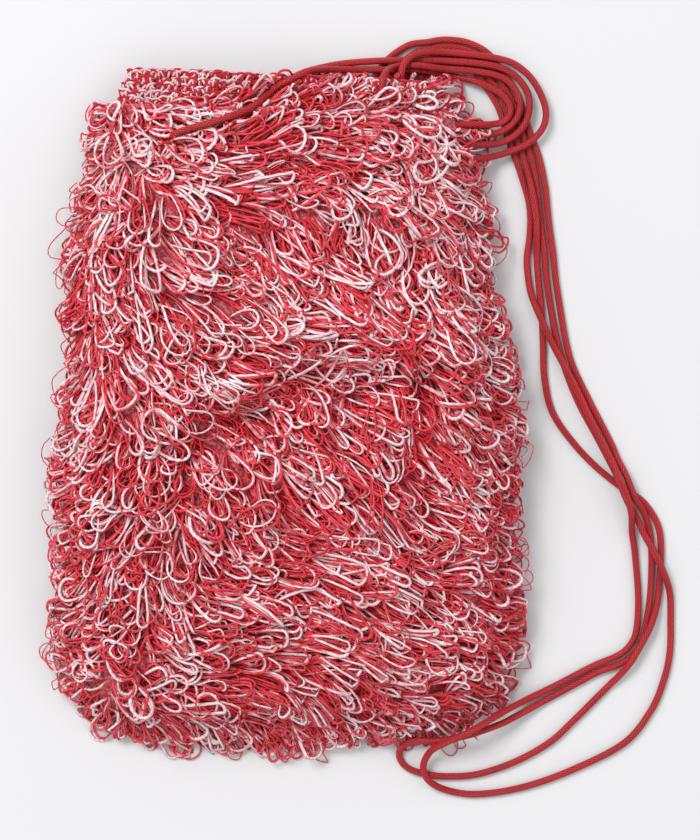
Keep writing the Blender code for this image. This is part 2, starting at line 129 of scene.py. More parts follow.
def threeSided(radius):
    # the section of a thin strand
    ring = bpy.data.curves.new("outline", "CURVE")
    ring.dimensions = "2D"
    corners = ring.splines.new("POLY")
    corners.points.add(2)
    turn = np.radians((90, 210, 330))
    corners.points.foreach_set("co", np.c_[radius * np.cos(turn), radius * np.sin(turn), 0 * turn,
                                           0 * turn + 1].ravel())
    corners.use_cyclic_u = True
    outline = bpy.data.objects.new("outline", ring)
    bpy.context.scene.collection.objects.link(outline)
    return outline


def strandMesh(name, lines, radius, sides, material, paintedShade=None, swell=None):
    # one strand along each line, all of them in one mesh, with its end caps joined on
    curve = bpy.data.curves.new(name, "CURVE")
    curve.dimensions = "3D"
    curve.use_fill_caps = True
    outline = threeSided(radius) if sides == 3 else None
    if outline:
        curve.bevel_mode = "OBJECT"
        curve.bevel_object = outline
    else:
        curve.bevel_depth = radius
        curve.bevel_resolution = (sides - 4) // 2
    for number, line in enumerate(lines):
        spline = curve.splines.new("POLY")
        spline.points.add(len(line) - 1)
        spline.points.foreach_set("co", np.c_[line, np.ones(len(line))].ravel())
        if swell is not None:
            spline.points.foreach_set("radius", np.full(len(line), swell[number], np.float32))
    piece = bpy.data.objects.new(name, curve)
    bpy.context.scene.collection.objects.link(piece)
    pickOnly(piece)
    bpy.ops.object.convert(target="MESH")
    piece = bpy.context.object
    piece.name = name
    if outline:
        bpy.data.objects.remove(outline)
    if paintedShade is not None:
        # the caps' corners come first, from the last strand's end to the first strand's start
        caps = paintedShade[::-1][:, (-1, 0)].ravel()
        # the painted shade of each point, which the yarn materials mix in
        depth = piece.data.attributes.new("paintedShade", "FLOAT", "POINT")
        depth.data.foreach_set("value", np.repeat(np.r_[caps, paintedShade.ravel()], sides).astype(np.float32))
    joinClose(0.000001)
    piece.data.materials.clear()
    piece.data.materials.append(material)
    bpy.ops.object.shade_smooth()
    return piece


# camera: straight above the bag, which lies flat

camera = {
    "place": (0.031, -0.0055, 1.42),
    "lens": 120,
    "clip": (0.05, 20),
}

bpy.ops.object.camera_add(location=camera["place"], rotation=(0, 0, 0))
eye = bpy.context.object
eye.name = "mainCamera"
eye.data.lens = camera["lens"]
eye.data.clip_start, eye.data.clip_end = camera["clip"]
bpy.context.scene.camera = eye
print("camera placed")


# steps that the materials share

def feed(tree, value, socket):
    # a node's output is linked to the socket, a number or a colour is set on it
    if isinstance(value, bpy.types.NodeSocket):
        tree.links.new(value, socket)
    else:
        socket.default_value = (*value, 1) if isinstance(value, tuple) else value


def placeNode(tree, kind, **values):
    # underscores in the sockets' names stand for spaces
    node = tree.nodes.new(kind)
    for label, value in values.items():
        feed(tree, value, node.inputs[label.replace("_", " ")])
    return node.outputs


def maths(tree, operation, *values):
    node = tree.nodes.new("ShaderNodeMath")
    node.operation = operation
    for socket, value in zip(node.inputs, values):
        feed(tree, value, socket)
    return node.outputs[0]


def bulges(tree, phase):
    # one round bulge for each whole step of the phase
    return maths(tree, "ABSOLUTE", maths(tree, "SINE", maths(tree, "MULTIPLY", phase, math.pi)))


def bothShares(tree, first, firstShare, second, secondShare):
    return maths(tree, "MINIMUM", 1.0, maths(tree, "ADD", maths(tree, "MULTIPLY", first, firstShare),
                                             maths(tree, "MULTIPLY", second, secondShare)))


def noise(tree, place, scale, detail):
    return placeNode(tree, "ShaderNodeTexNoise", Vector=place, Scale=scale, Detail=detail)["Fac"]


def colourMix(tree, factor, first, second):
    mix = tree.nodes.new("ShaderNodeMix")
    mix.data_type = "RGBA"
    for label, value in (("Factor", factor), ("A", first), ("B", second)):
        feed(tree, value, mix.inputs[label])
    return mix.outputs["Result"]


def startMaterial(name):
    material = bpy.data.materials.new(name)
    material.use_nodes = True
    tree = material.node_tree
    return material, tree, tree.nodes["Principled BSDF"], tree.nodes.new("ShaderNodeTexCoord").outputs


def finishShader(tree, shader, colour, height, look):
    bump = placeNode(tree, "ShaderNodeBump", Height=height, Strength=look["bump"],
                     Distance=look["bumpDepth"])
    sockets = {"Roughness": "roughness", "Sheen Weight": "sheen", "Specular IOR Level": "specular"}
    for label, key in sockets.items():
        feed(tree, look[key], shader.inputs[label])
    tree.links.new(bump["Normal"], shader.inputs["Normal"])
    tree.links.new(colour, shader.inputs["Base Color"])


def makeTwistGroup():
    # plies that wind round a strand, with fine fibres over them, and a mask of painted shade in the valleys
    # between the plies
    group = bpy.data.node_groups.new("yarnTwist", "ShaderNodeTree")
    inputs = {"uv": None, "place": None, "turns": 15.0, "plies": 2.0,
              "fibreScale": 2600.0, "fibreShare": 0.3}
    for label, value in inputs.items():
        kind = "NodeSocketVector" if value is None else "NodeSocketFloat"
        socket = group.interface.new_socket(name=label, in_out="INPUT", socket_type=kind)
        if value is not None:
            socket.default_value = value
    for label in ("height", "paintedValleyShade"):
        group.interface.new_socket(name=label, in_out="OUTPUT", socket_type="NodeSocketFloat")
    given = group.nodes.new("NodeGroupInput").outputs
    result = group.nodes.new("NodeGroupOutput").inputs
    split = placeNode(group, "ShaderNodeSeparateXYZ", Vector=given["uv"])
    wound = maths(group, "ADD", maths(group, "MULTIPLY", split[0], given["turns"]),
                  maths(group, "MULTIPLY", split[1], given["plies"]))
    ply = bulges(group, wound)
    fibres = noise(group, given["place"], given["fibreScale"], 2)
    fuzz = maths(group, "MULTIPLY", fibres, given["fibreShare"])
    feed(group, maths(group, "ADD", ply, fuzz), result["height"])
    # painted shade: strongest in the valleys between the plies
    feed(group, maths(group, "SUBTRACT", 1.0, maths(group, "POWER", ply, 0.6)), result["paintedValleyShade"])
    return group


twistGroup = makeTwistGroup()


yarns = {                   # root: painted shade with painted red bounce light, for yarn deep in the pile; turns: of the ply along a loop or stitch
    # light is the yarn's own tone; dark is what the painted shade in the ply valleys and the random darker
    # patches mix towards, pink on the white yarn for painted red bounce light
    "redYarn": {"light": (0.76, 0.092, 0.120), "dark": (0.62, 0.020, 0.036), "root": (0.56, 0.001, 0.012),
                "turns": 15},
    "whiteYarn": {"light": (0.85, 0.76, 0.775), "dark": (0.76, 0.43, 0.47), "root": (0.66, 0.022, 0.05),
                  "turns": 15},
    "redStitch": {"light": (0.60, 0.032, 0.050), "dark": (0.32, 0.004, 0.012), "turns": 3},
    "whiteStitch": {"light": (0.78, 0.65, 0.67), "dark": (0.56, 0.24, 0.28), "turns": 3},
    "roughness": 0.75,
    "sheen": 0.06,
    "specular": 0.10,
    "shadeScale": 55,       # patches of lighter and darker yarn, per metre
    "valleyShare": 0.5,     # how much the painted shade in the valleys between the plies darkens it, and how much the patches do
    "patchShare": 0.6,
    "bump": 0.55,
    "bumpDepth": 0.0003,
}


def makeYarnMaterial(name):
    tones = yarns[name]
    material, tree, shader, coords = startMaterial(name)
    twist = tree.nodes.new("ShaderNodeGroup")
    twist.node_tree = twistGroup
    for label, value in (("uv", coords["UV"]), ("place", coords["Object"]), ("turns", tones["turns"])):
        feed(tree, value, twist.inputs[label])
    patches = placeNode(tree, "ShaderNodeMapRange", From_Min=0.35, From_Max=0.65,
                        Value=noise(tree, coords["Object"], yarns["shadeScale"], 4))["Result"]
    # painted shade in the ply valleys, mixed with random patches of lighter and darker yarn
    shade = bothShares(tree, twist.outputs["paintedValleyShade"], yarns["valleyShare"], patches, yarns["patchShare"])
    colour = colourMix(tree, shade, tones["light"], tones["dark"])
    if "root" in tones:
        # painted shade: yarn deep in the pile is mixed towards the root colour, a dark red that stands for
        # its shade and for the red light that the yarn round it bounces onto it
        paintedShade = tree.nodes.new("ShaderNodeAttribute")
        paintedShade.attribute_name = "paintedShade"
        colour = colourMix(tree, paintedShade.outputs["Fac"], colour, tones["root"])
    finishShader(tree, shader, colour, twist.outputs["height"], yarns)
    return material


redYarn, whiteYarn, redStitch, whiteStitch = map(
    makeYarnMaterial, ("redYarn", "whiteYarn", "redStitch", "whiteStitch"))


cloth = {
    # both tones are far darker than the yarns': the cloth's own red and white marl, darkened as painted
    # shade under the pile
    "red": (0.40, 0.014, 0.028),
    "white": (0.40, 0.16, 0.18),
    "stitch": 230,          # stitches in a metre
    "marl": 620,            # changes from red to white in a metre
    "roughness": 0.85,
    "sheen": 0.2,
    "specular": 0.5,
    "bump": 0.8,
    "bumpDepth": 0.001,
}


def makeClothMaterial():
    # small stitches, red and white strands mixed, in tones darkened as painted shade
    material, tree, shader, coords = startMaterial("crochetCloth")
    cells = placeNode(tree, "ShaderNodeTexVoronoi", Vector=coords["Object"], Scale=cloth["stitch"])
    marl = placeNode(tree, "ShaderNodeMapRange", From_Min=0.48, From_Max=0.56,
                     Value=noise(tree, coords["Object"], cloth["marl"], 3))["Result"]
    finishShader(tree, shader, colourMix(tree, marl, cloth["red"], cloth["white"]),
                 maths(tree, "SUBTRACT", 1.0, cells["Distance"]), cloth)
    return material


crochetCloth = makeClothMaterial()


braid = {
    # light on the ridges; dark is both the painted shade in the valleys and the darker wear
    "light": (0.58, 0.012, 0.020),
    "dark": (0.14, 0.001, 0.004),
    "pitch": 0.0026,        # length of one crossing of the braid
    "carriers": 8,          # strands round the cord each way
    "valleyShare": 0.7,     # how much the painted shade in the valleys of the braid darkens it, and how much the wear does
    "wearShare": 0.45,
    "wearScale": 45,
    "roughness": 0.34,
    "sheen": 0.03,
    "specular": 0.36,
    "bump": 0.75,
    "bumpDepth": 0.0006,
}


def makeBraidMaterial():
    # uv holds metres along the cord and the share of the way round it
    material, tree, shader, coords = startMaterial("braidedCord")
    split = placeNode(tree, "ShaderNodeSeparateXYZ", Vector=coords["UV"])
    along = maths(tree, "MULTIPLY", split[0], 1 / braid["pitch"])
    around = maths(tree, "MULTIPLY", split[1], braid["carriers"])
    ridges = maths(tree, "MAXIMUM", bulges(tree, maths(tree, "ADD", along, around)),
                   bulges(tree, maths(tree, "SUBTRACT", along, around)))
    # painted shade: the valleys between the braid's crossings are darker than its ridges
    paintedValleyShade = maths(tree, "SUBTRACT", 1.0, maths(tree, "POWER", ridges, 5.0))
    wear = noise(tree, coords["Object"], braid["wearScale"], 3)
    shade = bothShares(tree, paintedValleyShade, braid["valleyShare"], wear, braid["wearShare"])
    finishShader(tree, shader, colourMix(tree, shade, braid["light"], braid["dark"]), ridges, braid)
    return material


braidedCord = makeBraidMaterial()
print("materials made")


# the cord: two long straps and four loops, each on its own route

cord = {
    "diameter": 0.0035,
    "sides": 10,
    "spacing": 0.0012,      # between the rings of the tube
    "lane": 0.0038,         # between cords that run side by side
    "floorLay": 0.0018,     # height of a cord's middle on the floor
    "overLay": 0.0057,      # and where it lies on one other cord
    "loopsOver": 14,        # points of loopD, from its start, that the pile lies over
}

# run is the middle line of the four cords that lie together, from the mouth to half way down; the points
# of a strap that give no height lie on the floor, and those of a loop on one other cord
run = (
    (.071, .1802), (.0785, .1814), (.0865, .1808), (.092, .179), (.096, .1768), (.099, .174), (.1035, .168),
    (.1072, .1625), (.111, .156), (.1138, .1485), (.1165, .139), (.1212, .126),
)
outerFromMouth = (
    (.05, .1605, .0074), (.0501, .1639, .0074), (.0507, .1665, .0059), (.0522, .1692, .0029),
    (.0548, .1724, .0019), (.0602, .1778), (.0653, .181),
)
# down beside the bag to the loop on the floor, and back up
outerDown = (
    (.1256, .113), (.1269, .101), (.1281, .09), (.1296, .079), (.1306, .065), (.134, .0435), (.1386, .0245),
    (.1462, .0045), (.1555, -.013), (.162, -.0255, .0022), (.1655, -.033, .0054), (.171, -.0465, .0058),
    (.1749, -.053, .0042), (.1777, -.059, .0045), (.1805, -.065, .0054), (.1845, -.072, .0058),
    (.19, -.084, .0057), (.193, -.094, .0026), (.1934, -.1075), (.193, -.123), (.19, -.137),
    (.1835, -.1525), (.17, -.169), (.144, -.1825), (.1185, -.1915), (.096, -.195), (.081, -.1932, .0022),
    (.071, -.188, .005), (.068, -.181, .006), (.0705, -.174, .0076), (.0765, -.1688, .013),
    (.0905, -.162, .0176), (.1085, -.152, .0125), (.121, -.1465, .0044), (.1345, -.1403), (.154, -.1302),
    (.167, -.1246), (.1731, -.1192), (.1761, -.1115), (.177, -.0955), (.1753, -.073), (.1736, -.062, .0039),
    (.1728, -.053, .0091), (.1705, -.044, .0097), (.1665, -.0345, .0096), (.1628, -.0255, .0072),
    (.153, -.006, .0057), (.144, .013, .0057), (.1338, .032, .0057), (.1285, .0435, .0059),
    (.1252, .051, .0052), (.1222, .0605, .002), (.1206, .075), (.122, .087), (.1224, .097), (.1214, .106),
    (.1188, .115),
)
outerToMouth = (
    (.0703, .1719, .0019), (.068, .1687, .0033), (.0667, .166, .0071), (.0661, .1632, .0087),
    (.066, .1595, .0087),
)
innerFromMouth = (
    (.058, .16, .0078), (.0581, .1637, .0078), (.0587, .1662, .0063), (.06, .1689, .0029),
    (.0627, .1722, .0019), (.0672, .1763),
)
innerDown = (
    (.1218, .116, .0044), (.1239, .106, .0054), (.1251, .097, .0054), (.1254, .088, .0048),
    (.1255, .078, .0024), (.1262, .067), (.128, .0495), (.1288, .032), (.1295, .0155), (.1335, -.0015),
    (.144, -.017), (.1565, -.03), (.1705, -.041), (.1793, -.0468), (.1866, -.058), (.1885, -.0705),
    (.1877, -.088), (.1866, -.098, .0022), (.1834, -.1085, .0053), (.1798, -.1158, .0056),
    (.1762, -.1223, .0056), (.1722, -.1288, .0055), (.1672, -.1348, .0036), (.1623, -.1398, .0019),
    (.1565, -.1456), (.144, -.158), (.1325, -.1685), (.1155, -.1782), (.096, -.1848), (.0795, -.186),
    (.0675, -.1844), (.06, -.1815), (.0562, -.1768, .0019), (.0568, -.1716, .0029), (.0612, -.168, .005),
    (.067, -.1672, .007), (.076, -.1672, .0087), (.0905, -.164, .0124), (.106, -.159, .0096),
    (.1155, -.1548, .0056), (.1285, -.1482, .002), (.1442, -.1398), (.157, -.133), (.1683, -.1289),
    (.1755, -.1234), (.1792, -.1161), (.1822, -.101), (.1835, -.088), (.1837, -.073), (.1825, -.061),
    (.1793, -.0518, .0039), (.1753, -.046, .0062), (.1728, -.0395, .006), (.17, -.0325, .0049),
    (.1665, -.0255, .0028), (.1625, -.016), (.152, .0045), (.1441, .021), (.1408, .032), (.138, .047),
    (.1352, .065), (.1338, .079), (.1322, .09), (.131, .101), (.1297, .113),
)
innerToMouth = (
    (.0615, .1846), (.053, .1796), (.047, .1735, .0019), (.0442, .1696, .0028), (.0427, .1669, .0057),
    (.0421, .1642, .0072), (.042, .1605, .0072),
)
loopA = (
    (.056, .1595, .0148), (.0562, .1635, .015), (.0566, .168, .015), (.0577, .172, .0142),
    (.06, .1756, .0127), (.0645, .1786, .0098), (.0705, .1801, .0074), (.0785, .1803, .0059),
    (.0875, .1796), (.097, .1786), (.106, .177), (.1134, .1746), (.1198, .17), (.1244, .1644),
    (.1278, .158), (.1298, .1515), (.1296, .1452), (.1265, .1392), (.12, .1336), (.11, .1295),
    (.1035, .1275, .0075), (.0975, .126, .0115), (.0913, .1252, .0155), (.085, .1248, .0168),
    (.081, .1246, .0165),
)
loopB = (
    (-.008, .161, .0068), (-.001, .1655, .007), (.0055, .169, .0068), (.0115, .1712, .0062),
    (.019, .173, .0056), (.0265, .1744, .0053), (.034, .1752, .0053), (.042, .1757, .0056),
    (.0515, .1761, .0058), (.062, .1763, .0058), (.076, .176), (.0865, .1755), (.097, .1745),
    (.1055, .1729), (.1115, .1704), (.1162, .1666), (.1197, .1618), (.1214, .157), (.1216, .1515),
    (.1202, .146), (.117, .1408), (.1122, .1368), (.106, .1342, .0064), (.099, .1332, .0105),
    (.09, .1332, .0155), (.0845, .1332, .0168), (.0805, .1332, .0165),
)
loopC = (
    (.0465, .155, .0234), (.0468, .1595, .0234), (.0475, .1646, .0233), (.0486, .1677, .0213),
    (.05, .1698, .017), (.052, .1714, .0129), (.055, .1726, .0103), (.0585, .1732, .0095),
    (.0655, .1731, .01), (.0725, .1722, .0094), (.0795, .1717, .0067), (.0875, .1713), (.096, .1704),
    (.1035, .169), (.109, .1668), (.1128, .1636), (.1155, .1596), (.1168, .155), (.1164, .15),
    (.114, .1452), (.11, .1416), (.105, .1393, .0064), (.099, .1382, .0105), (.0893, .1382, .0152),
    (.0838, .1382, .0165), (.08, .1382, .0162),
)
loopD = (
    (-.0625, .1325, .0335), (-.0578, .1347, .0385), (-.0525, .1365, .0409), (-.0455, .1388, .0403),
    (-.037, .1412, .0399), (-.0285, .144, .0395), (-.02, .1475, .036), (-.0166, .1498, .0342),
    (-.0136, .1526, .0304), (-.0105, .1564, .0252), (-.0055, .1608, .0234), (.001, .1642, .0234),
    (.0065, .167, .0233), (.0105, .169, .0207), (.015, .1702, .0163), (.021, .1709, .0118),
    (.0285, .1712, .0086), (.037, .1713, .0068), (.046, .1714, .0065), (.056, .1713, .0063),
    (.066, .1711, .0066), (.073, .1702, .0056), (.079, .1692, .0028), (.085, .1682, .0023),
    (.089, .1671, .0037), (.093, .166, .0052), (.098, .164), (.1042, .1612), (.1089, .1578), (.1118, .1532),
    (.1116, .1486), (.1084, .1452, .0058), (.1035, .1438, .0068), (.098, .1432, .0104),
    (.0893, .1428, .0138), (.0838, .1425, .0155), (.08, .1424, .0155),
)


def besideRun(lane):
    # the run's middle line moved sideways by that many half lanes
    points = np.array(run)
    way = unit(np.vstack([points[1:], points[-1:]]) - np.vstack([points[:1], points[:-1]]))
    return points + np.c_[-way[:, 1], way[:, 0]] * lane * cord["lane"] / 2


cordRoutes = {
    "strapOuter": ("strap_outer", "floorLay", (*outerFromMouth, *besideRun(1), *outerDown,
                                               *besideRun(-3)[::-1], *outerToMouth)),
    "strapInner": ("strap_inner", "floorLay", (*innerFromMouth, *besideRun(-1), *innerDown,
                                               *besideRun(3)[::-1], *innerToMouth)),
    "loopA": ("loop_a", "overLay", loopA),
    "loopB": ("loop_b", "overLay", loopB),
    "loopC": ("loop_c", "overLay", loopC),
    "loopD": ("loop_d", "overLay", loopD),
}
cordLines = {}


def makeCord(name, node, lay, route):
    line = smoothLine([(*point, cord[lay])[:3] for point in route], 12)
    line = evenPoints(line, round(lineLength(line) / cord["spacing"]) + 1)
    line[:, 2] = np.maximum(line[:, 2], cord["diameter"] / 2)
    piece = strandMesh(name, [line], cord["diameter"] / 2, cord["sides"], braidedCord)
    long = lineLength(line)
    uv = piece.data.uv_layers[0].data
    values = np.zeros(len(uv) * 2, np.float32)
    uv.foreach_get("uv", values)
    values[0::2] *= long
    uv.foreach_set("uv", values)
    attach(piece, "root")
    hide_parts(node)
    cordLines[name] = line
    print("cord", name, round(long, 3), "m")


for cordName, (cordNode, cordLay, cordRoute) in cordRoutes.items():
    makeCord(cordName, cordNode, cordLay, cordRoute)


# the bag's crocheted cloth: a thin sheet, a pile's depth inside the pouch solid

pouchCloth = {
    "pileDepth": 0.0075,    # how far the cloth lies under the pouch's surface
    "keepShare": 0.5,       # least share of the height left where the bag is thin
    "mouthFrom": 0.138,     # faces that look to the mouth and lie past this close the mouth
    "mouthLow": 0.122,      # the cloth is drawn in less from here
    "mouthHigh": 0.152,     # to here
    "bottomFrom": 0.02,     # it is drawn up more from here to its bottom
    "rowTall": 0.004,
    "underside": 0.0022,
    "thickness": 0.0022,
    "flat": (0.44, 0.335),  # the tube laid out flat: once round it, and its depth
}


def makePouchCloth():
    pickOnly(frame["nodes"]["pouch"])
    bpy.ops.object.duplicate()
    piece = bpy.context.object
    piece.name = "pouchCloth"
    for key in list(piece.keys()):
        if key.startswith("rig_"):
            del piece[key]
    piece.parent = None
    piece.data.materials.clear()
    piece.data.materials.append(crochetCloth)
    joinClose(0.00002)
    # the flat end round the mouth goes, which parts the outside from the hollow
    for face in piece.data.polygons:
        face.select = face.normal.y > 0.8 and face.center.y > pouchCloth["mouthFrom"]
    editing(True)
    bpy.ops.mesh.delete(type="FACE")
    editing(False)
    max(piece.data.vertices, key=lambda vertex: vertex.co.z).select = True
    editing(True)
    bpy.ops.mesh.select_linked()
    bpy.ops.mesh.select_all(action="INVERT")
    bpy.ops.mesh.delete(type="VERT")
    bpy.ops.mesh.select_all(action="SELECT")
    bpy.ops.mesh.normals_make_consistent(inside=False)
    editing(False)
    # each height on the bag is drawn in by the pile's depth
    places = vertexPlaces(piece)
    depth, underside = pouchCloth["pileDepth"], pouchCloth["underside"]
    mouthLow, mouthHigh = pouchCloth["mouthLow"], pouchCloth["mouthHigh"]
    rows = np.round(places[:, 1] / pouchCloth["rowTall"]).astype(int)
    for row in np.unique(rows):
        here = rows == row
        near = np.abs(rows - row) <= 1
        left, right = places[near, 0].min(), places[near, 0].max()
        middle, half = (left + right) / 2, (right - left) / 2
        share = np.clip((mouthHigh - places[here, 1]) / (mouthHigh - mouthLow), 0, 1)
        places[here, 0] = middle + (places[here, 0] - middle) * (1 - depth * share / half)
        keep = max(1 - (depth + underside) / places[near, 2].max(), pouchCloth["keepShare"])
        keep = 1 - (1 - keep) * (0.35 + 0.65 * share)
        places[here, 2] = underside + places[here, 2] * keep
    low, high = places[:, 1].min(), pouchCloth["bottomFrom"]
    places[:, 1] += depth * np.clip((high - places[:, 1]) / (high - low), 0, 1)
    piece.data.vertices.foreach_set("co", places.ravel())
    piece.data.update()
    pickOnly(piece)
    thicken(piece, pouchCloth["thickness"])
    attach(piece, "root")
    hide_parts("pouch")
    return piece


clothPiece = makePouchCloth()
print("pouch cloth:", len(clothPiece.data.polygons), "faces")


# the rim band: five rounds of single crochet over a plain ring, with a chain along its edge

band = {
    "low": 0.153, "high": 0.1703, "rows": 5,
    "left": -0.0853, "right": 0.083, "taper": 0.0065,
    "bottom": 0.001, "top": 0.021, "tilt": 0.045, "roundness": 3.5,
    "corePoints": 160,
    "coreDepth": 0.0012,    # how far the plain ring lies under the stitches
    "coreBelow": 0.003,     # and how far it goes on under the pouch's cloth
    "coreAbove": 0.0018,
    "coreWall": 0.0018,
    "seed": 21,
    "stitchWidth": 0.0040,
    "plyRadius": 0.00064,
    "plyApart": 0.00056,
    "bulge": 0.0011,
    "unevenness": 0.00042,
    "lean": 15,             # degrees that a stitch may tip to either side
    "plyTurn": (1.5, 3.4),  # how far the plies wind round each other in one strand
    "ringInset": 0.0004,    # how far the rounds lie inside the band's outline
    "chainInset": 0.0012,   # and the chain on the edge
    "chainDrop": 0.0006,
    "ringPoints": 2000,     # points on a round that a stitch's place is read from
    "bothRed": 0.20,        # share of strands with both plies red
    "bothWhite": 0.07,
}


def bandRing(y, inset, count):
    # points round the band at one height
    taper = band["taper"] * (y - band["low"]) / (band["high"] - band["low"])
    left, right = band["left"] + taper + inset, band["right"] - taper - inset
    middle, half = (left + right) / 2, (right - left) / 2
    centre, rise = (band["bottom"] + band["top"]) / 2, (band["top"] - band["bottom"]) / 2 - inset
    angle = np.linspace(0, 2 * math.pi, 1440, endpoint=False)
    power = 2 / band["roundness"]
    x = middle + half * np.sign(np.cos(angle)) * np.abs(np.cos(angle)) ** power
    z = centre + rise * np.sign(np.sin(angle)) * np.abs(np.sin(angle)) ** power
    ring = np.c_[x, y - band["tilt"] * (x - band["left"]), z]
    return evenPoints(np.vstack([ring, ring[:1]]), count, closed=True)


def makeBandCore():
    # a loop of edges pulled up row by row, then given its wall
    bpy.ops.object.select_all(action="DESELECT")
    bpy.ops.mesh.primitive_circle_add(vertices=band["corePoints"], radius=0.08, fill_type="NOTHING")
    piece = bpy.context.object
    piece.name = "bandCore"
    first = bandRing(band["low"] - band["coreBelow"], band["coreDepth"], band["corePoints"])
    piece.data.vertices.foreach_set("co", first.ravel())
    tall = (band["high"] - band["low"] + band["coreAbove"]) / band["rows"]
    middle, half = (band["right"] + band["left"]) / 2, (band["right"] - band["left"]) / 2
    narrower = 1 - band["taper"] / band["rows"] / half
    editing(True)
    bpy.ops.mesh.select_all(action="SELECT")
    for _ in range(band["rows"]):
        bpy.ops.mesh.extrude_region_move(TRANSFORM_OT_translate={"value": (0, tall, 0)})
        bpy.ops.transform.resize(value=(narrower, 1, 1), center_override=(middle, 0, 0))
    bpy.ops.mesh.select_all(action="SELECT")
    bpy.ops.mesh.normals_make_consistent(inside=False)
    editing(False)
    centre = Vector(first.mean(axis=0))
    if sum((face.center - centre).dot(face.normal) for face in piece.data.polygons) < 0:
        piece.data.flip_normals()
    thicken(piece, band["coreWall"])
    settle(piece)
    piece.data.materials.append(crochetCloth)
    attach(piece, "root")
    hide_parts("rim_band")
    return piece


def stitchParts(lying, rowTall):
    # across, lift and stand of the strands of one stitch
    width, bulge = band["stitchWidth"], band["bulge"]
    t = np.linspace(-0.5, 0.5, 6)
    if lying:
        return [(width * 1.2 * t, leg * 0.0007 * (1 - 4 * t * t), 0.0002 + leg * 0.0007 + 0 * t)
                for leg in (-1, 1)]
    bar = (width * 1.15 * t, rowTall * (0.20 + 0.30 * (1 - 4 * t * t)), bulge * (1 - 2.6 * t * t))
    s = np.linspace(0, 1, 4)
    legs = [(leg * width * (0.10 + 0.26 * s), rowTall * (0.30 - 0.92 * s), bulge * (0.8 - 0.6 * s * s))
            for leg in (-1, 1)]
    return [bar, *legs]


def makeBandStitches():
    picker = np.random.default_rng(band["seed"])
    fine = band["ringPoints"]
    rowTall = (band["high"] - band["low"]) / band["rows"]
    upward = np.array((0, 1, 0.0))
    plies = {"red": [], "white": []}
    for row in range(band["rows"] + 1):
        lying = row == band["rows"]     # the chain that lies along the top edge
        y = band["high"] - band["chainDrop"] if lying else band["low"] + rowTall * (row + 0.5)
        ring = bandRing(y, band["chainInset"] if lying else band["ringInset"], fine)
        around = lineLength(np.vstack([ring, ring[:1]]))
        count = round(around / band["stitchWidth"])
        way = unit(np.roll(ring, -1, axis=0) - np.roll(ring, 1, axis=0))
        outward = unit(np.cross(way, upward))
        if ((ring - ring.mean(axis=0)) * outward).sum(axis=1).mean() < 0:
            outward = -outward
        parts = stitchParts(lying, rowTall)
        for k in range(count):
            lean = np.radians(picker.normal(0, band["lean"] * (not lying)))
            shift = picker.normal(0, band["unevenness"], 3)
            for across, lift, stand in parts:
                aside = across * math.cos(lean) - lift * math.sin(lean)
                aloft = across * math.sin(lean) + lift * math.cos(lean)
                place = (k + 0.5 * (row % 2)) / count * fine + aside / around * fine
                i = np.floor(place).astype(int) % fine
                base = ring[i] + outward[i] * stand[:, None] + upward * aloft[:, None] + shift
                turn = picker.uniform(0, 2 * math.pi)
                turn = turn + np.linspace(0, picker.uniform(*band["plyTurn"]), len(i))
                offset = (outward[i] * np.cos(turn)[:, None]
                          + np.cross(outward[i], upward) * np.sin(turn)[:, None]
                          + upward * (0.6 * np.cos(turn))[:, None]) * band["plyApart"]
                mix = picker.random()
                first = "white" if mix > 1 - band["bothWhite"] else "red"
                second = "red" if mix < band["bothRed"] else "white"
                for ply, colour in ((base + offset, first), (base - offset, second)):
                    ply[:, 2] = np.maximum(ply[:, 2], band["plyRadius"] + 0.0001)
                    plies[colour].append(ply)
    for colour, material in (("red", redStitch), ("white", whiteStitch)):
        piece = strandMesh(colour + "Stitches", plies[colour], band["plyRadius"], 4, material)
        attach(piece, "root")
        print(piece.name, len(piece.data.polygons), "faces")


corePiece = makeBandCore()
makeBandStitches()


# the pile: pairs of yarn loops, mostly a red and a white strand from each stitch

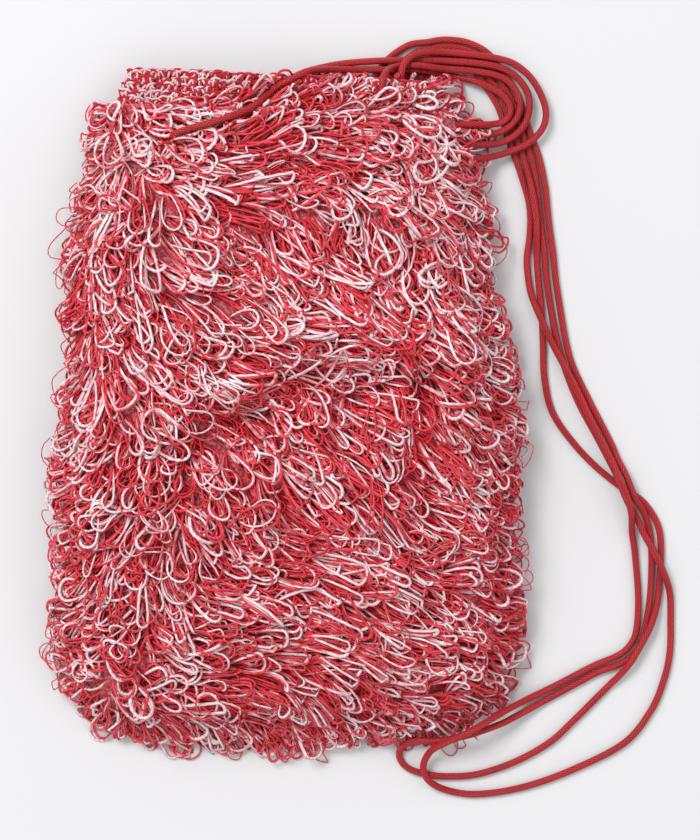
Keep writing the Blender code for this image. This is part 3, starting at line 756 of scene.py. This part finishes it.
pile = {
    "seed": 5,
    "tries": 42000,         # places tried on the cloth
    "apart": 0.0042,        # least distance between two stitches that carry loops
    "underShare": 0.12,     # share of the stitches on the underside that carry a loop
    "rootSpread": 0.0005,
    "redRadius": 0.00070,
    "whiteRadius": 0.00090,
    "thickness": (0.62, 1.16),
    "length": 0.0255,
    "lengthSpread": (0.6, 1.2),
    "width": 0.0052,
    "widthSpread": (0.45, 1.6),
    "legPlaces": (0, 0.2, 0.4, 0.6, 0.8),   # where a loop's legs have their points
    "tipPoints": 9,
    "waySteps": 8,          # steps of the middle line that a loop follows
    "turnMost": 0.8,        # how far that line may turn, in radians
    "widthMost": 0.55,      # greatest width, as a share of the length
    "tip": (0.0020, 0.0085),                # how high a loop's tip stands over the cloth
    "wildShare": 0.07,      # share of loops that stand up more
    "wildMore": (3, 1.3, 1.5),              # how much more these stray, and how much wider and taller
    "wildBelow": 0.144,
    "crossShare": 0.16,     # share of loops whose legs cross
    "headingSpread": 6,     # degrees, from one loop to the next
    "partingSpread": 45,    # degrees more that the loops stray where the pile parts
    "partingReach": 0.007,
    "partingBelow": 0.143,
    "lockSize": 9,          # stitches in one lock of loops that lie the same way
    "lockSpread": 10,       # degrees, from one lock to the next
    "lockRise": 0.0016,
    "lockWhite": 0.14,
    "curl": 0.32,
    "kink": 0.0007,
    "pairHeading": 4,       # how the two strands of a stitch differ, from here to pairLean
    "pairLength": (0.92, 1.08),
    "pairWidth": (0.82, 1.15),
    "pairTip": (-0.0006, 0.0012),
    "pairCurl": 0.12,
    "pairLean": 0.0008,
    "crossLean": 0.0009,
    "legsApart": (-0.14, 0.45),             # how far the legs cross at the root: plain, crossed
    "outwards": 0.9,        # how strongly the loops on the sides turn outwards
    "rootDepth": 0.0012,
    "redTop": 0.95,         # share of first strands that are red
    "redUnder": 0.22,       # share of second strands that are red
    "cordGap": 0.0003,      # between a cord and the pile under it
    "sunkCell": 0.003,      # size of the cells in which the yarn round a point is counted, for the painted shade
    "sunkFrom": -0.0020,
    "sunkTo": 0.0017,
    "bandCover": (          # x from, x to, y from, y to, and places tried on the band
        (-0.086, -0.070, 0.1505, 0.1545, 60), (-0.070, -0.045, 0.1508, 0.1540, 60),
        (-0.045, -0.008, 0.1494, 0.1522, 50), (-0.008, 0.040, 0.1475, 0.1600, 170),
        (0.040, 0.088, 0.1440, 0.1640, 480),
    ),
}

threads = {                 # long thin threads that stand out past the loops at the edge
    "count": 110,
    "radius": 0.00034,
    "heading": 24,
    "length": (1.1, 1.4),
    "width": (0.6, 2.2),
    "tip": (0.003, 0.014),
    "curl": 0.5,
    "lean": 0.001,
    "crossShare": 0.3,
    "kink": 0.0012,
}

# which way each patch of the pile lies: x and y in millimetres, heading in degrees
pileFlow = (
    (-96, 146, -165), (-87, 152, -128), (-79, 153.5, -82), (-66, 153, -38), (-50, 152, -12), (-34, 150, -8),
    (-76, 144, -70), (-62, 143, -35), (-47, 144, -14), (-26, 143, 6), (-8, 145, 24), (6, 146, 22),
    (14, 158, 26), (34, 160, 32), (46, 161, 30), (56, 157, 48), (60, 163, 40), (76, 159, 34), (85, 156, 0),
    (71, 150, -35), (20, 144, 0), (36, 144, -28), (60, 142, -28), (86, 141, -30), (-94, 132, -122),
    (-80, 131, -58), (-64, 130, -18), (-34, 130, -4), (6, 130, 14), (30, 130, -6), (52, 128, -26),
    (74, 129, -50), (-98, 110, -118), (-81, 110, -82), (-64, 110, -13), (-30, 108, -7), (8, 109, -5),
    (42, 108, -4), (60, 110, -68), (78, 108, -50), (-97, 88, -112), (-80, 86, -88), (-66, 84, -58),
    (-52, 78, -31), (-30, 88, -42), (-30, 70, -20), (0, 82, -46), (24, 82, -56), (42, 84, -68),
    (60, 88, -28), (66, 70, -86), (88, 82, -62), (100, 66, -72), (-113, 60, -108), (-96, 60, -72),
    (-75, 58, -50), (-53, 61, -15), (-52, 46, -60), (-28, 58, -12), (-22, 46, -42), (8, 56, -40),
    (32, 54, -44), (56, 54, -66), (80, 48, -50), (-113, 28, -112), (-96, 30, -76), (-78, 28, -60),
    (-58, 26, -50), (-39, 24, -40), (-22, 22, -18), (2, 32, -30), (-4, 16, -4), (22, 32, -4), (24, 18, -10),
    (48, 32, -2), (52, 18, -20), (80, 26, -25), (102, 26, -48), (-112, 4, -130), (-95, 6, -108),
    (-81, 6, -88), (-62, 2, -55), (-40, 0, -16), (-18, 4, -6), (-24, -10, -42), (8, -2, -48), (36, -6, -47),
    (66, -8, -58), (98, -6, -42), (116, -12, -18), (-108, -26, -132), (-93, -26, -113), (-80, -30, -115),
    (-60, -28, -96), (-38, -28, -60), (-12, -30, -48), (24, -30, -46), (62, -32, -53), (96, -32, -50),
    (-109, -54, -148), (-90, -56, -138), (-64, -50, -106), (-52, -56, -88), (-38, -54, -63),
    (-22, -50, -48), (0, -58, -30), (24, -52, -47), (52, -54, -45), (80, -54, -30), (102, -58, -26),
    (-108, -80, -148), (-90, -80, -132), (-72, -76, -118), (-54, -76, -80), (-37, -78, -50), (-10, -78, -2),
    (20, -78, -8), (42, -74, -32), (60, -78, -36), (78, -76, -2), (102, -78, -36), (-108, -100, -140),
    (-90, -100, -120), (-74, -100, -100), (-52, -94, -62), (-56, -108, -60), (-32, -98, -4), (-2, -98, 3),
    (24, -94, -30), (52, -98, -28), (78, -94, -4), (102, -104, -34), (-108, -122, 178), (-92, -122, -160),
    (-80, -122, -95), (-64, -120, -18), (-36, -120, 6), (0, -118, 0), (34, -118, -10), (68, -120, -18),
    (100, -124, -34), (-106, -140, -150), (-84, -138, -80), (-68, -137, -15), (-52, -136, -12),
    (-22, -138, -22), (8, -138, -36), (40, -138, -36), (74, -136, -4), (98, -140, -34), (-92, -153, -115),
    (-70, -152, -40), (-42, -154, -20), (-12, -152, -14), (14, -152, -44), (48, -152, -30), (80, -152, -12),
    (-84, -162, -112), (-45, -163, -50), (-10, -163, -40), (30, -163, -36), (62, -162, -25),
)

# how large and how white its loops are: x and y in millimetres, length share, width share, more white
pileLook = (
    (-87, 152, .7, 1.2, .1), (-66, 153, .9, 1.2, .15), (-34, 150, .8, 1, 0), (-76, 146, .6, 1.7, .2),
    (-60, 144, .7, 2, .25), (-44, 140, .8, 1.4, .1), (6, 146, .9, .9, 0), (14, 158, .6, 1, 0),
    (60, 161, .66, 1.9, .15), (84, 154, .7, 1.6, .25), (86, 140, .9, 1.4, .3), (60, 140, .9, 1.5, .25),
    (-80, 132, .8, 1.4, .12), (-94, 110, .85, 1.1, .08), (-30, 114, 1.1, .8, 0), (46, 108, 1.1, 1.5, .1),
    (81, 108, 1, 1.4, .2), (-50, 70, 1.1, 1, .03), (22, 64, 1.1, 1.2, 0), (58, 66, 1, 1.6, .06),
    (94, 56, .9, 1.2, .06), (-97, 30, .9, 1.1, .07), (-34, 10, 1, 1.1, 0), (20, 34, 1, 1, 0),
    (60, 32, 1, .9, 0), (98, 20, .85, 1, 0), (-102, -40, .9, 1.2, .06), (-62, -28, .75, 2, .05),
    (-36, -34, 1, 1.7, 0), (-8, -40, 1.1, 1.2, 0), (50, -35, 1.2, .9, -.04), (102, -40, .8, 1, -.06),
    (-86, -58, .8, 1.6, .06), (-68, -80, .8, 1.6, .04), (-104, -95, .9, 1.2, .08), (-46, -88, 1, 1.1, 0),
    (20, -90, 1.2, .9, -.03), (98, -85, .85, 1, -.08), (-82, -126, .7, 1.7, .08),
    (-104, -140, .9, 1.2, .06), (0, -128, 1.2, .85, 0), (98, -140, 1, 1, -.06), (-74, -157, 1.05, 1.2, .05),
    (30, -160, .8, 1, 0),
)


def nearShares(x, y, table, blur):
    # how much each row of the table counts at each place
    d2 = (x[:, None] - table[:, 0] / 1000) ** 2 + (y[:, None] - table[:, 1] / 1000) ** 2
    weight = 1 / (d2 + blur ** 2) ** 2
    return weight / weight.sum(axis=1)[:, None]


def flowAt(x, y):
    flow = np.array(pileFlow)
    near = nearShares(x, y, flow, 0.005)
    angle = np.radians(flow[:, 2])
    return np.arctan2(near @ np.sin(angle), near @ np.cos(angle))


def lookAt(x, y):
    look = np.array(pileLook)
    return (nearShares(x, y, look, 0.008) @ look[:, 2:]).T


heightGrid = {
    "step": 0.0018,
    "x": (-0.135, 0.135),
    "y": (-0.195, 0.185),
    "above": 0.2,           # where the rays that look down start
    "fall": 1.1,            # how steeply the map goes down past the bag's edge
    "smoothing": 2,
}


def neighbours(grid, **edge):
    # the four cells round each cell
    padded = np.pad(grid, 1, **edge)
    return np.stack([padded[:-2, 1:-1], padded[2:, 1:-1], padded[1:-1, :-2], padded[1:-1, 2:]])


def makeHeightMap(*pieces):
    # height of the cloth and band seen from above, carried on outwards and down past their edge
    trees = [BVHTree.FromPolygons([v.co for v in piece.data.vertices],
                                  [tuple(p.vertices) for p in piece.data.polygons]) for piece in pieces]
    step = heightGrid["step"]
    xs = np.arange(*heightGrid["x"], step)
    ys = np.arange(*heightGrid["y"], step)
    heights = np.full((len(ys), len(xs)), np.nan)
    down = Vector((0, 0, -1))
    for j, y in enumerate(ys):
        for i, x in enumerate(xs):
            hits = [tree.ray_cast(Vector((x, y, heightGrid["above"])), down)[0] for tree in trees]
            heights[j, i] = max((hit.z for hit in hits if hit is not None), default=np.nan)
    while np.isnan(heights).any():
        around = neighbours(heights, constant_values=np.nan)
        known = ~np.isnan(around)
        mean = np.where(known, around, 0).sum(axis=0) / np.maximum(known.sum(axis=0), 1)
        fill = np.isnan(heights) & known.any(axis=0)
        heights[fill] = (mean - heightGrid["fall"] * step)[fill]
    for _ in range(heightGrid["smoothing"]):
        heights = (neighbours(heights, mode="edge").sum(axis=0) + 2 * heights) / 6
    return heights


def heightAt(heights, x, y):
    step = heightGrid["step"]
    u = np.clip((x - heightGrid["x"][0]) / step, 0, heights.shape[1] - 1.001)
    v = np.clip((y - heightGrid["y"][0]) / step, 0, heights.shape[0] - 1.001)
    i, j = u.astype(int), v.astype(int)
    a, b = u - i, v - j
    return ((heights[j, i] * (1 - a) + heights[j, i + 1] * a) * (1 - b)
            + (heights[j + 1, i] * (1 - a) + heights[j + 1, i + 1] * a) * b)


def keepApart(places, allowed):
    # the allowed places, no two nearer than pile["apart"]
    cell = pile["apart"]
    taken, kept = {}, []
    for k in np.flatnonzero(allowed):
        x, y, z = np.floor(places[k] / cell).astype(int)
        crowd = [m for dx in (-1, 0, 1) for dy in (-1, 0, 1) for dz in (-1, 0, 1)
                 for m in taken.get((x + dx, y + dy, z + dz), ())]
        if all(((places[m] - places[k]) ** 2).sum() > cell * cell for m in crowd):
            taken.setdefault((x, y, z), []).append(k)
            kept.append(k)
    return kept


def stitchPlaces(piece, heights, picker):
    # places on the outside of the cloth, and on part of the band
    mesh, tries = piece.data, pile["tries"]
    mesh.calc_loop_triangles()
    corners = np.array([triangle.vertices for triangle in mesh.loop_triangles])
    a, b, c = vertexPlaces(piece)[corners].transpose(1, 0, 2)
    normal = np.cross(b - a, c - a)
    size = np.linalg.norm(normal, axis=1)
    normal /= np.maximum(size, 1e-12)[:, None]
    middle = (a + b + c) / 3
    # only faces that look away from the bag's middle line are its outside
    core = middle * (0.55, 0.9, 0) + (0, 0, 0.016)
    outside = ((middle - core) * normal).sum(axis=1) > 0
    outside &= middle[:, 1] < band["low"] - 0.001 - band["tilt"] * (middle[:, 0] - band["left"])
    weight = np.where(outside, size, 0)
    chosen = picker.choice(len(size), tries, p=weight / weight.sum())
    u, v = picker.random((2, tries, 1))
    u, v = np.where(u + v > 1, 1 - u, u), np.where(u + v > 1, 1 - v, v)
    places = a[chosen] + u * (b[chosen] - a[chosen]) + v * (c[chosen] - a[chosen])
    facing = normal[chosen]
    allowed = (facing[:, 2] > -0.5) | (picker.random(tries) < pile["underShare"])
    for left, right, low, high, more in pile["bandCover"]:
        x, y = picker.uniform(left, right, more), picker.uniform(low, high, more)
        z = heightAt(heights, x, y)
        places = np.vstack([places, np.c_[x, y, z]])
        facing = np.vstack([facing, np.tile((0, 0, 1.0), (more, 1))])
        allowed = np.r_[allowed, z > 0.010]
    kept = keepApart(places, allowed)
    return places[kept], facing[kept]


def loopLines(roots, facing, heights, spread):
    # one bent line for each root: out from the stitch, round the loop's tip, and back
    rootX, rootY, _ = roots.T
    first = flowAt(rootX, rootY)
    longShare, wideShare, _ = lookAt(rootX, rootY)
    long = pile["length"] * longShare * spread["length"]
    radius = np.minimum(pile["width"] * wideShare * spread["width"], pile["widthMost"] * long) / 2
    heading = first + spread["heading"]
    # on the sides of the bag a loop turns outwards
    steep = np.clip((0.55 - facing[:, 2]) / 0.6, 0, 1)
    flat = facing[:, :2] / np.maximum(np.linalg.norm(facing[:, :2], axis=1), 1e-6)[:, None]
    heading = np.arctan2(np.sin(heading) + pile["outwards"] * steep * flat[:, 1],
                         np.cos(heading) + pile["outwards"] * steep * flat[:, 0])
    turns = []
    for share in (0.5, 1):
        onward = flowAt(rootX + np.cos(heading) * long * share, rootY + np.sin(heading) * long * share)
        turn = (onward - first + math.pi) % (2 * math.pi) - math.pi
        turns.append((np.clip(turn, -pile["turnMost"], pile["turnMost"]) * (1 - steep))[:, None])
    start = heightAt(heights, rootX, rootY)
    end = heightAt(heights, rootX + np.cos(heading) * long, rootY + np.sin(heading) * long)
    reach = (long * np.clip(1 / np.sqrt(1 + ((end - start) / long) ** 2), 0.5, 1))[:, None]
    # the middle line follows the way the pile lies
    steps = pile["waySteps"]
    t = np.linspace(0, 1, steps + 1)
    bearing = (heading[:, None] + turns[0] * 4 * t * (1 - t) + turns[1] * t * (2 * t - 1)
               + spread["curl"][:, None] * t * t)
    between = (bearing[:, 1:] + bearing[:, :-1]) / 2
    none = np.zeros((len(roots), 1))
    wayX = roots[:, :1] + np.hstack([none, np.cumsum(np.cos(between), axis=1)]) * reach / steps
    wayY = roots[:, 1:2] + np.hstack([none, np.cumsum(np.sin(between), axis=1)]) * reach / steps
    # distance out and to the side: a leg, the round tip, the other leg
    legs = np.array(pile["legPlaces"])
    tip = np.radians(np.linspace(90, -90, pile["tipPoints"]))
    cross = np.where(spread["crosses"], *pile["legsApart"][::-1])[:, None]
    radius, straight = radius[:, None], (long - radius)[:, None]
    legSide = radius * ((1 + cross) * (1 - (1 - legs) ** 1.8) - cross)
    out = np.hstack([straight * legs, straight + radius * np.cos(tip), (straight * legs)[:, ::-1]])
    side = np.hstack([legSide, radius * np.sin(tip), -legSide[:, ::-1]])
    out = out / long[:, None]
    i = np.clip(np.floor(out * steps), 0, steps - 1).astype(int)
    part = out * steps - i

    def along(values):
        return np.take_along_axis(values, i, 1) * (1 - part) + np.take_along_axis(values, i + 1, 1) * part

    x = along(wayX) - np.sin(along(bearing)) * side
    y = along(wayY) + np.cos(along(bearing)) * side
    over = np.r_[np.ones(len(legs)), np.sin(tip), -np.ones(len(legs))]
    rise = spread["tip"][:, None] * out ** 0.45 + spread["lean"][:, None] * over
    # a loop rooted low on the side hangs out from its root towards the floor
    under = (roots[:, 2] < start - 0.006)[:, None]
    lower = roots[:, 2:] + 0.6 * rise - roots[:, 2:] * 0.75 * out ** 1.5
    z = np.where(under, lower, heightAt(heights, x, y) + rise)
    z[:, (0, -1)] -= pile["rootDepth"]
    # three slow waves along the strand make each loop a little different
    u = np.linspace(0, math.pi, out.shape[1])
    waves = np.sin(np.array((1, 2, 3))[:, None] * u)
    lines = np.stack([x, y, z], axis=2) + np.einsum("nwc,wp->npc", spread["kink"], waves)
    lines[:, :, 2] = np.maximum(lines[:, :, 2], pile["whiteRadius"] + 0.0001)
    return lines


def paintedShadeShare(lines, facing):
    # how much painted shade a point gets: 1 where most of the yarn round it lies further out than the point,
    # 0 where it lies further in
    points = lines.reshape(-1, 3)
    outward = np.repeat(facing, lines.shape[1], axis=0)
    low = points.min(axis=0) - 2 * pile["sunkCell"]
    cells = np.floor((points - low) / pile["sunkCell"]).astype(int)
    shape = tuple(cells.max(axis=0) + 3)
    index = np.ravel_multi_index(tuple(cells.T), shape)
    sums = [np.bincount(index, weights, math.prod(shape)).reshape(shape)
            for weights in (None, *points.T)]
    for axis in range(3):
        sums = [each + np.roll(each, 1, axis) + np.roll(each, -1, axis) for each in sums]
    count, *sums = [each.ravel()[index] for each in sums]
    around = np.c_[tuple(sums)] / count[:, None]
    beyond = ((around - points) * outward).sum(axis=1)
    share = np.clip((beyond - pile["sunkFrom"]) / (pile["sunkTo"] - pile["sunkFrom"]), 0, 1)
    return (share * share * (3 - 2 * share)).reshape(lines.shape[:2])


def underCords(lines):
    # the pile is pressed down where a cord lies on it
    way = np.vstack([cordLines["loopD"][cord["loopsOver"]:],
                     cordLines["strapOuter"], cordLines["strapInner"]])
    limit = cord["diameter"] / 2 + pile["whiteRadius"] + pile["cordGap"]
    flat = lines.reshape(-1, 3)
    for point in way[way[:, 2] > 0.004][::2]:
        near = np.hypot(flat[:, 0] - point[0], flat[:, 1] - point[1])
        low = point[2] - np.sqrt(np.maximum(limit ** 2 - near ** 2, 0))
        press = (near < limit) & (flat[:, 2] > low) & (flat[:, 2] < point[2] + 0.02)
        flat[press, 2] = np.maximum(low[press], pile["whiteRadius"])
    return flat.reshape(lines.shape)


def makeThreads(roots, facing, heights, picker):
    edge = np.flatnonzero((facing[:, 2] < 0.6) & (roots[:, 2] > 0.008))
    count = threads["count"]
    chosen = picker.choice(edge, count, replace=False)
    lines = loopLines(roots[chosen], facing[chosen], heights, {
        "heading": np.radians(picker.normal(0, threads["heading"], count)),
        "length": picker.uniform(*threads["length"], count),
        "width": picker.uniform(*threads["width"], count),
        "tip": picker.uniform(*threads["tip"], count),
        "curl": picker.normal(0, threads["curl"], count),
        "lean": picker.normal(0, threads["lean"], count),
        "crosses": picker.random(count) < threads["crossShare"],
        "kink": picker.normal(0, threads["kink"], (count, 3, 3)),
    })
    threadPiece = strandMesh("looseThreads", lines, threads["radius"], 3, redYarn, np.zeros(lines.shape[:2]))
    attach(threadPiece, "root")


def makePile():
    picker = np.random.default_rng(pile["seed"])
    heights = makeHeightMap(clothPiece, corePiece)
    roots, facing = stitchPlaces(clothPiece, heights, picker)
    x, y, _ = roots.T
    count = len(roots)
    # stitches near each other share a lock, whose loops lie the same way
    heads = roots[picker.choice(count, count // pile["lockSize"], replace=False)]
    lock = np.array([((heads - root) ** 2).sum(axis=1).argmin() for root in roots])
    locks = len(heads)
    lockHeading = picker.normal(0, pile["lockSpread"], locks)[lock]
    lockRise = picker.uniform(-1, 1, locks)[lock] * pile["lockRise"]
    lockWhite = picker.uniform(-pile["lockWhite"], pile["lockWhite"], locks)[lock]
    wild = (picker.random(count) < pile["wildShare"]) & (y < pile["wildBelow"])
    moreStray, moreWide, moreTall = (np.where(wild, more, 1) for more in pile["wildMore"])
    # loops stray more where the pile parts, so that they cover the cloth there
    reach = pile["partingReach"]
    west, east, south, north = (flowAt(x + dx, y + dy) for dx, dy in (
        (-reach, 0), (reach, 0), (0, -reach), (0, reach)))
    parting = np.clip(np.cos(east) - np.cos(west) + np.sin(north) - np.sin(south), 0, 2)
    stray = pile["headingSpread"] + pile["partingSpread"] * parting * (y < pile["partingBelow"])
    heading = np.radians(lockHeading + picker.normal(0, 1, count) * stray * moreStray)
    length = picker.uniform(*pile["lengthSpread"], count)
    width = picker.uniform(*pile["widthSpread"], count) * moreWide
    tip = (picker.uniform(*pile["tip"], count) + lockRise) * moreTall
    curl = picker.normal(0, pile["curl"], count)
    crosses = picker.random(count) < pile["crossShare"]
    swap = picker.random(count) + lookAt(x, y)[2]
    thickness = picker.uniform(*pile["thickness"], 2 * count)
    every = []
    for _ in range(2):
        spread = {
            "heading": heading + np.radians(picker.normal(0, pile["pairHeading"], count)),
            "length": length * picker.uniform(*pile["pairLength"], count),
            "width": width * picker.uniform(*pile["pairWidth"], count),
            "tip": tip + picker.uniform(*pile["pairTip"], count),
            "curl": curl + picker.normal(0, pile["pairCurl"], count),
            "lean": np.where(crosses, pile["crossLean"], picker.normal(0, pile["pairLean"], count)),
            "crosses": crosses,
            "kink": picker.normal(0, pile["kink"], (count, 3, 3)),
        }
        moved = roots + picker.normal(0, pile["rootSpread"], (count, 3)) * (1, 1, 0)
        every.append(underCords(loopLines(moved, facing, heights, spread)))
    makeThreads(roots, facing, heights, picker)
    every = np.vstack(every)
    reds = np.r_[swap < pile["redTop"], swap < pile["redUnder"] - lockWhite]
    # painted shade for each point of the loops, darker the deeper it lies in the pile
    paintedShade = paintedShadeShare(every, np.vstack([facing, facing]))
    order = np.argsort(-every[:, 0, 1], kind="stable")
    for colour, material in (("red", redYarn), ("white", whiteYarn)):
        mine = order[reds[order] == (colour == "red")]
        for part, chosen in zip(("Upper", "Middle", "Lower"), np.array_split(mine, 3)):
            name = colour + "Loops" + part
            piece = strandMesh(name, every[chosen], pile[colour + "Radius"], 3, material, paintedShade[chosen],
                               thickness[chosen])
            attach(piece, "root")
            print(name, len(chosen), "loops")
    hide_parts("pile_top")
    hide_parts("pile_left", "pile_right")
    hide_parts("pile_bottom")


makePile()


# floor, light and background

studio = {
    "floor": (0.615, 0.615, 0.627),
    "roughness": 0.9,
    "world": 0.82,
    "lights": {             # place, power and size
        "keyLight": ((-1.4, 1.5, 2.9), 94, 1.4),
        "fillLight": ((1.8, -1.0, 2.4), 12, 2.4),
    },
}


def makeStage():
    bpy.ops.object.select_all(action="DESELECT")
    bpy.ops.mesh.primitive_plane_add(size=6, location=(0, 0, 0))
    floor = bpy.context.object
    floor.name = "studioFloor"
    material, tree, shader, _ = startMaterial("paleFloor")
    feed(tree, studio["floor"], shader.inputs["Base Color"])
    feed(tree, studio["roughness"], shader.inputs["Roughness"])
    floor.data.materials.append(material)
    settle(floor)
    for name, (place, power, size) in studio["lights"].items():
        bpy.ops.object.light_add(type="AREA", location=place)
        light = bpy.context.object
        light.name = name
        light.data.shape = "SQUARE"
        light.data.size = size
        light.data.energy = power
        light.rotation_mode = "QUATERNION"
        light.rotation_quaternion = (Vector((0, 0, 0)) - Vector(place)).to_track_quat("-Z", "Y")
    world = bpy.data.worlds.new("studio")
    world.use_nodes = True
    background = world.node_tree.nodes["Background"].inputs
    background["Color"].default_value = (1, 1, 1, 1)
    background["Strength"].default_value = studio["world"]
    bpy.context.scene.world = world
    bpy.context.scene.view_settings.view_transform = "Standard"


makeStage()
print("studio set")
